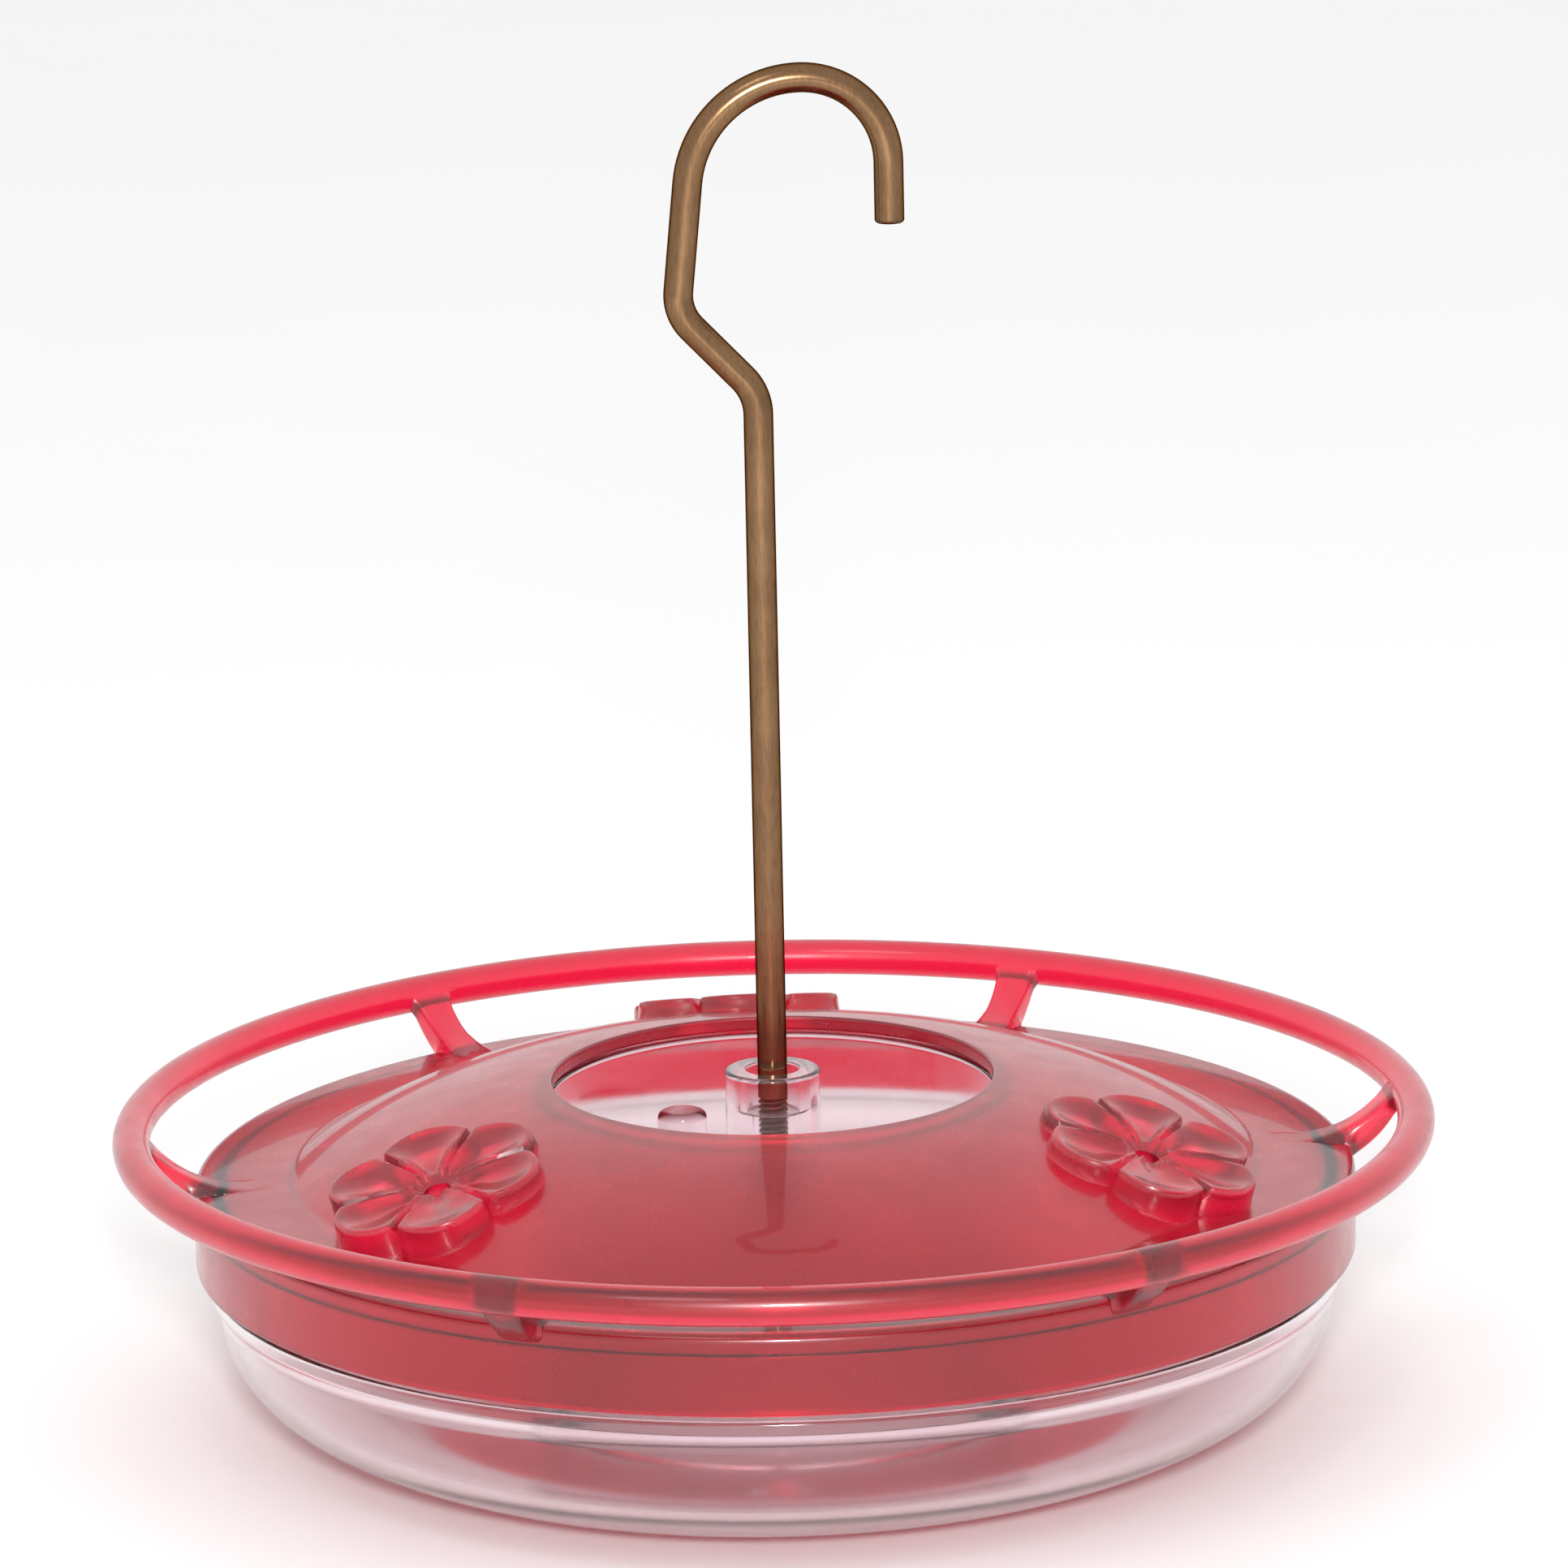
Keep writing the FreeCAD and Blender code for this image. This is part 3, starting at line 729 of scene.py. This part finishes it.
def petal_sink(flower, radius, offset, edge):
    """How far a flower's top lies below its rim plane."""
    half = math.pi / flower.petals
    border = radius * math.sin(half - abs(offset))
    axis_border = radius * math.sin(half)
    crest = 0.75 * MM
    across = min(1.0, max(0.0, (border - crest) / max(0.2 * MM, axis_border - crest)))
    inward = min(1.0, max(0.0, (edge - radius - 0.8 * MM) / (6.5 * MM)))
    hollow = (1 - (1 - across) ** 2) * (1 - (1 - inward) ** 2)
    toward = min(1.0, radius / flower.petal_reach)
    groove_depth = flower.groove * (0.35 + 0.65 * toward)
    groove = groove_depth * math.exp(-(border / (0.42 * MM)) ** 2)
    funnel = 0.9 * MM * smoothstep(1 - radius / (9.0 * MM))
    throat = 1.5 * MM * smoothstep(1 - (radius - flower.port_radius) / (2.2 * MM))
    fade = smoothstep((radius - 2.0 * MM) / (3.0 * MM))
    return (flower.scoop * hollow * fade) + groove * fade + funnel + throat


def flower_place(flower, dome, turn):
    return (
        Matrix.Rotation(turn, 4, "Z")
        @ Matrix.Translation((flower.reach, 0, dome.height(flower.reach) + flower.rise))
        @ Matrix.Rotation(flower.tilt, 4, "Y"))


def sunk_to(place, way, radius, start, surface):
    """Distance below start at which a line down a flower's side meets a surface."""
    drop = 3 * MM
    for _ in range(12):
        point = place @ (way * radius - UP * (start + drop))
        drop += point.z - surface(point)
    return drop


def make_flower(flower, dome, turn):
    """A flower turned as a plain ring and then shaped petal by petal."""
    top_rings = 22
    wall_rings = 8
    rim_round = 0.55 * MM
    tube = flower.port_radius + 1.7 * MM
    outline = [(1 + index / top_rings, 0.0) for index in range(top_rings + 1)]
    outline += [(2.0, -(index + 1) / wall_rings) for index in range(wall_rings)]
    outline += [(1.7, -2.0), (1.4, -2.0), (1.1, -2.0), (1.1, -3.0), (1.0, -3.0)]
    bm = lathe(outline, flower.petals * flower.sectors)
    place = flower_place(flower, dome, turn)
    step = math.tau / flower.petals

    for vert in bm.verts:
        direction = math.atan2(vert.co.y, vert.co.x)
        offset = direction - round(direction / step) * step
        way = Vector((math.cos(direction), math.sin(direction), 0))
        edge = petal_edge(flower, offset)
        share = min(1.0, max(0.0, math.hypot(vert.co.x, vert.co.y) - 1))
        level = vert.co.z
        if level > -1e-6:
            radius = flower.port_radius + (edge - flower.port_radius) * (1 - (1 - share) ** 1.35)
            gap = edge - radius
            sink = petal_sink(flower, radius, offset, edge)
            if gap < rim_round:
                sink += rim_round - math.sqrt(max(0.0, rim_round ** 2 - (rim_round - gap) ** 2))
            vert.co = place @ (way * radius - UP * sink)
        elif level > -1.5:
            rim = petal_sink(flower, edge, offset, edge) + rim_round
            drop = sunk_to(place, way, edge + 0.9 * MM, rim, dome.middle)
            down = drop * -level
            flare = 0.9 * MM * math.exp(-(drop - down) / (0.8 * MM)) + 0.03 * down
            vert.co = place @ (way * (edge + flare) - UP * (rim + down))
        elif level > -2.5:
            radius = tube + (edge + 0.9 * MM - tube) * (share - 0.1) / 0.9
            vert.co = place @ (way * radius - UP * sunk_to(place, way, radius, 0.0, dome.middle))
        else:
            radius = tube if share > 0.05 else flower.port_radius
            vert.co = place @ (way * radius - UP * sunk_to(place, way, radius, 0.0, dome.below))
    bmesh.ops.dissolve_degenerate(bm, edges=bm.edges, dist=1e-6)
    bmesh.ops.recalc_face_normals(bm, faces=bm.faces)
    return new_object("flower", bm)


def make_port(flower, dome, turn):
    """Bore through the dome, wide enough for the tube under a flower."""
    bm = bmesh.new()
    radius = flower.port_radius + 1.0 * MM
    bmesh.ops.create_cone(
        bm, cap_ends=True, segments=40, radius1=radius, radius2=radius, depth=16 * MM)
    bmesh.ops.transform(bm, matrix=flower_place(flower, dome, turn), verts=bm.verts)
    return new_object("port", bm)


class FEEDER_OT_cover(bpy.types.Operator):
    """Build the red cover with its perch ring, arms and flower ports"""
    bl_idname = "feeder.cover"
    bl_label = "Cover"
    bl_options = {"REGISTER", "UNDO"}

    def execute(self, context):
        bowl = plain(context.scene.feeder_bowl)
        cover = plain(context.scene.feeder_cover)
        flower = plain(context.scene.feeder_flower)
        dome = Dome(cover, bowl)
        obj = new_object("red_cover", lathe(shell_outline(dome, bowl), cover.steps))
        turns = [
            flower.first_angle + math.tau / flower.count * index for index in range(flower.count)]
        combine(obj, "DIFFERENCE", [make_port(flower, dome, turn) for turn in turns])
        additions = [make_flower(flower, dome, turn) for turn in turns]
        additions.append(perch_ring(cover))
        for index in range(cover.arm_count):
            additions.append(arm(dome, math.tau / cover.arm_count * index))
        combine(obj, "UNION", additions)
        clean(obj)
        material = plastic("red_plastic", tuple(cover.tint), 0.965, 0.30, PLASTIC_IOR)
        finish_piece(obj, "cover_body", "red_plastic", material, "cover")
        return {"FINISHED"}


# Rod

def rod_corners(rod):
    """Where the rod's straight runs meet, and where the hook's first arc starts."""
    centre = Vector((rod.hook_offset, 0, rod.hook_top - rod.hook_left))
    leg_top = centre + Vector((-math.cos(rod.lean), 0, math.sin(rod.lean))) * rod.hook_left
    leg_way = Vector((-math.sin(rod.lean), 0, -math.cos(rod.lean)))
    slant_way = Vector((-math.sin(rod.slant), 0, math.cos(rod.slant)))
    start = Vector((0, 0, rod.slant_start))
    across = leg_top - start
    turn = slant_way.x * leg_way.z - slant_way.z * leg_way.x
    reach = (across.x * leg_way.z - across.z * leg_way.x) / turn
    return start, start + slant_way * reach, leg_top


def ring_edges(geometry):
    return [item for item in geometry if isinstance(item, bmesh.types.BMEdge)]


def run_to(bm, edges, way, distance):
    """Draws a ring of edges straight on, with rings close to both ends."""
    margin = min(0.4 * MM, distance / 4)
    for step in (margin, distance / 2 - margin, distance / 2 - margin, margin):
        grown = bmesh.ops.extrude_edge_only(bm, edges=edges)["geom"]
        verts = [item for item in grown if isinstance(item, bmesh.types.BMVert)]
        bmesh.ops.translate(bm, verts=verts, vec=way * step)
        edges = [edge for edge in ring_edges(grown) if all(v in verts for v in edge.verts)]
    return edges


def bend(bm, edges, centre, sweep, steps):
    """Draws a ring of edges round a bend in the XZ plane."""
    verts = list({vert for edge in edges for vert in edge.verts})
    turned = bmesh.ops.spin(
        bm, geom=verts + edges, cent=centre, axis=(0, 1, 0), angle=sweep, steps=steps,
        use_merge=False, use_duplicate=False)
    return ring_edges(turned["geom_last"])


def corner_bend(before, corner, after, radius):
    """Start, centre and sweep about +Y of the arc that rounds a corner."""
    back = (before - corner).normalized()
    forth = (after - corner).normalized()
    half = back.angle(forth) / 2
    reach = radius / math.tan(half)
    centre = corner + (back + forth).normalized() * (radius / math.sin(half))
    sweep = math.pi - 2 * half
    if back.cross(forth).y > 0:
        sweep = -sweep
    return corner + back * reach, centre, sweep, corner + forth * reach


def rod_thread(rod):
    """Threaded foot of the rod, spun as a helix and cut square at both ends."""
    crest = rod.radius
    valley = rod.radius - 0.42 * MM
    pitch = rod.thread_pitch
    turns = int((rod.thread_top - rod.foot) / pitch) + 3
    bm = bmesh.new()
    low = rod.foot - 1.5 * pitch
    points = [(valley, 0.0), (crest, 0.42), (crest, 0.58), (valley, 1.0)]
    verts = [bm.verts.new((radius, 0, low + level * pitch)) for radius, level in points]
    edges = [bm.edges.new(pair) for pair in zip(verts, verts[1:])]
    bmesh.ops.spin(
        bm, geom=verts + edges, cent=(0, 0, 0), axis=(0, 0, 1), dvec=(0, 0, pitch / 24),
        angle=math.tau * turns, steps=24 * turns, use_merge=False, use_duplicate=False)
    bmesh.ops.remove_doubles(bm, verts=bm.verts, dist=1e-6)
    for level, side in ((rod.foot, -1), (rod.thread_top, 1)):
        cut = bmesh.ops.bisect_plane(
            bm, geom=bm.verts[:] + bm.edges[:] + bm.faces[:], dist=1e-7,
            plane_co=(0, 0, level), plane_no=(0, 0, side), clear_outer=True)
        edges = [item for item in cut["geom_cut"] if isinstance(item, bmesh.types.BMEdge)]
        bmesh.ops.holes_fill(bm, edges=edges, sides=0)
    bmesh.ops.recalc_face_normals(bm, faces=bm.faces)
    return new_object("rod_thread", bm)


def rod_body(rod):
    """Shank, bends, hook and rounded tip, drawn on from one ring."""
    first, second, leg_top = rod_corners(rod)
    bm = bmesh.new()
    bmesh.ops.create_circle(
        bm, segments=rod.segments, radius=rod.radius, cap_ends=True,
        matrix=Matrix.Translation((0, 0, rod.thread_top)))
    edges = bm.edges[:]
    here = Vector((0, 0, rod.thread_top))
    corners = [
        corner_bend(here, first, second, rod.lower_bend),
        corner_bend(first, second, leg_top, rod.upper_bend)]
    for start, centre, sweep, end in corners:
        run = start - here
        edges = run_to(bm, edges, run.normalized(), run.length)
        edges = bend(bm, edges, centre, sweep, 14)
        here = end
    run = leg_top - here
    edges = run_to(bm, edges, run.normalized(), run.length)
    left = Vector((rod.hook_offset, 0, rod.hook_top - rod.hook_left))
    right = Vector((rod.hook_offset, 0, rod.hook_top - rod.hook_right))
    edges = bend(bm, edges, left, math.pi / 2 - rod.lean, 24)
    edges = bend(bm, edges, right, math.pi / 2, 20)
    edges = run_to(bm, edges, Vector((0, 0, -1)), rod.tip)
    cap = bmesh.ops.contextual_create(bm, geom=edges)["faces"]
    rim = [edge for face in cap for edge in face.edges]
    bmesh.ops.bevel(
        bm, geom=rim, offset=0.55 * MM, offset_type="OFFSET", affect="EDGES",
        segments=4, profile=0.5, material=-1)
    bmesh.ops.recalc_face_normals(bm, faces=bm.faces)
    return new_object("brass_rod", bm)


class FEEDER_OT_rod(bpy.types.Operator):
    """Build the brass rod with its hook and threaded foot"""
    bl_idname = "feeder.rod"
    bl_label = "Rod"
    bl_options = {"REGISTER", "UNDO"}

    def execute(self, context):
        rod = plain(context.scene.feeder_rod)
        material = brass("aged_brass", tuple(rod.tint))
        for obj in (rod_body(rod), rod_thread(rod)):
            finish_piece(obj, "bowl_body", "brass", material, "hanging_rod")
        return {"FINISHED"}


# Stage

def floor_material():
    """Pale floor, the same to every kind of ray, so it keeps the shadow."""
    nodes = NodeTree("pale_floor")
    coordinates = nodes.add("ShaderNodeTexCoord")
    grain = noise(nodes, coordinates, 9.0, 3.0, 0.5)
    tone = ramp(nodes, grain, "Fac", [(0.3, (0.968, 0.968, 0.968)), (0.7, (0.975, 0.975, 0.975))])
    pale = nodes.add("ShaderNodeBsdfDiffuse")
    nodes.link(tone, "Color", pale, "Color")
    output = nodes.add("ShaderNodeOutputMaterial")
    nodes.link(pale, "BSDF", output, "Surface")
    return nodes.material


def studio_world(level):
    """White backdrop that metal and plastic show too; level is how much it lights."""
    world = bpy.data.worlds.new("studio")
    bpy.context.scene.world = world
    world.use_nodes = True
    tree = world.node_tree
    tree.nodes.clear()
    light = tree.nodes.new("ShaderNodeBackground")
    backdrop = tree.nodes.new("ShaderNodeBackground")
    for node, strength in ((light, level), (backdrop, 1.0)):
        node.inputs["Color"].default_value = (1, 1, 1, 1)
        node.inputs["Strength"].default_value = strength
    path = tree.nodes.new("ShaderNodeLightPath")
    seen = path.outputs["Is Camera Ray"]
    for name in ("Is Glossy Ray", "Is Transmission Ray"):
        either = tree.nodes.new("ShaderNodeMath")
        either.operation = "MAXIMUM"
        tree.links.new(seen, either.inputs[0])
        tree.links.new(path.outputs[name], either.inputs[1])
        seen = either.outputs["Value"]
    mix = tree.nodes.new("ShaderNodeMixShader")
    tree.links.new(seen, mix.inputs["Fac"])
    tree.links.new(light.outputs["Background"], mix.inputs[1])
    tree.links.new(backdrop.outputs["Background"], mix.inputs[2])
    output = tree.nodes.new("ShaderNodeOutputWorld")
    tree.links.new(mix.outputs["Shader"], output.inputs["Surface"])


def area_light(name, place, target, size, power):
    light = bpy.data.lights.new(name, "AREA")
    light.shape = "DISK"
    light.size = size
    light.energy = power
    obj = bpy.data.objects.new(name, light)
    obj.location = place
    obj.rotation_mode = "QUATERNION"
    obj.rotation_quaternion = (Vector(target) - Vector(place)).to_track_quat("-Z", "Y")
    bpy.context.scene.collection.objects.link(obj)
    return obj


def make_camera(stage):
    data = bpy.data.cameras.new("camera")
    obj = bpy.data.objects.new("camera", data)
    bpy.context.scene.collection.objects.link(obj)
    bpy.context.scene.camera = obj
    data.sensor_width = 36.0
    data.lens = stage.focal_pixels / IMAGE_SIDE * data.sensor_width
    data.clip_start = 0.05
    data.clip_end = 20.0
    side = Vector((math.cos(stage.azimuth), math.sin(stage.azimuth), 0))
    back = Vector((
        math.sin(stage.azimuth) * math.cos(stage.elevation),
        -math.cos(stage.azimuth) * math.cos(stage.elevation),
        math.sin(stage.elevation)))
    place = UP * stage.pivot_height + back * stage.distance
    aim = UP * stage.aim_height + side * stage.aim_side
    view = (aim - place).normalized()
    right = view.cross(UP).normalized()
    above = right.cross(view)
    turned_above = above * math.cos(stage.roll) + right * math.sin(stage.roll)
    turned_right = right * math.cos(stage.roll) - above * math.sin(stage.roll)
    axes = Matrix((turned_right, turned_above, -view)).transposed()
    obj.rotation_mode = "QUATERNION"
    obj.rotation_quaternion = axes.to_quaternion()
    obj.location = place
    return place


class FEEDER_OT_stage(bpy.types.Operator):
    """Build the floor, the lights, the backdrop and the camera"""
    bl_idname = "feeder.stage"
    bl_label = "Stage"
    bl_options = {"REGISTER", "UNDO"}

    def execute(self, context):
        stage = plain(context.scene.feeder_stage)
        bm = bmesh.new()
        bmesh.ops.create_circle(bm, cap_ends=True, segments=96, radius=stage.floor_size)
        floor = new_object("floor", bm)
        floor.location.z = -0.02 * MM
        floor.data.materials.append(floor_material())
        studio_world(WORLD_LEVEL)
        area_light("key", KEY_PLACE, LIT_PLACE, KEY_SIZE, KEY_POWER)
        place = make_camera(stage)
        area_light("flash", place + FLASH_OFFSET, LIT_PLACE, FLASH_SIZE, FLASH_POWER)
        context.scene.view_settings.view_transform = "Standard"
        return {"FINISHED"}


class FEEDER_PT_panel(bpy.types.Panel):
    """Settings and build buttons of the feeder"""
    bl_idname = "FEEDER_PT_panel"
    bl_label = "Dish Feeder"
    bl_space_type = "VIEW_3D"
    bl_region_type = "UI"
    bl_category = "Feeder"

    def draw(self, context):
        layout = self.layout
        for title, name, operator in GROUPS:
            box = layout.box()
            box.label(text=title)
            settings = getattr(context.scene, name)
            for key in settings.__annotations__:
                box.prop(settings, key)
            if operator:
                box.operator(operator)


GROUPS = (
    ("Bowl", "feeder_bowl", "feeder.bowl"),
    ("Cover", "feeder_cover", "feeder.cover"),
    ("Flowers", "feeder_flower", None),
    ("Rod", "feeder_rod", "feeder.rod"),
    ("Stage", "feeder_stage", "feeder.stage"),
)

SETTINGS = {
    "feeder_bowl": FeederBowlSettings,
    "feeder_cover": FeederCoverSettings,
    "feeder_flower": FeederFlowerSettings,
    "feeder_rod": FeederRodSettings,
    "feeder_stage": FeederStageSettings,
}

CLASSES = (
    *SETTINGS.values(), FEEDER_OT_bowl, FEEDER_OT_cover, FEEDER_OT_rod, FEEDER_OT_stage,
    FEEDER_PT_panel)


def register():
    for item in CLASSES:
        bpy.utils.register_class(item)
    for name, group in SETTINGS.items():
        setattr(bpy.types.Scene, name, PointerProperty(type=group))


def unregister():
    for name in SETTINGS:
        delattr(bpy.types.Scene, name)
    for item in reversed(CLASSES):
        bpy.utils.unregister_class(item)


def main():
    register()
    bpy.ops.feeder.stage()
    bpy.ops.feeder.bowl()
    bpy.ops.feeder.cover()
    bpy.ops.feeder.rod()
    bpy.context.view_layer.update()


if __name__ == "__main__":
    main()
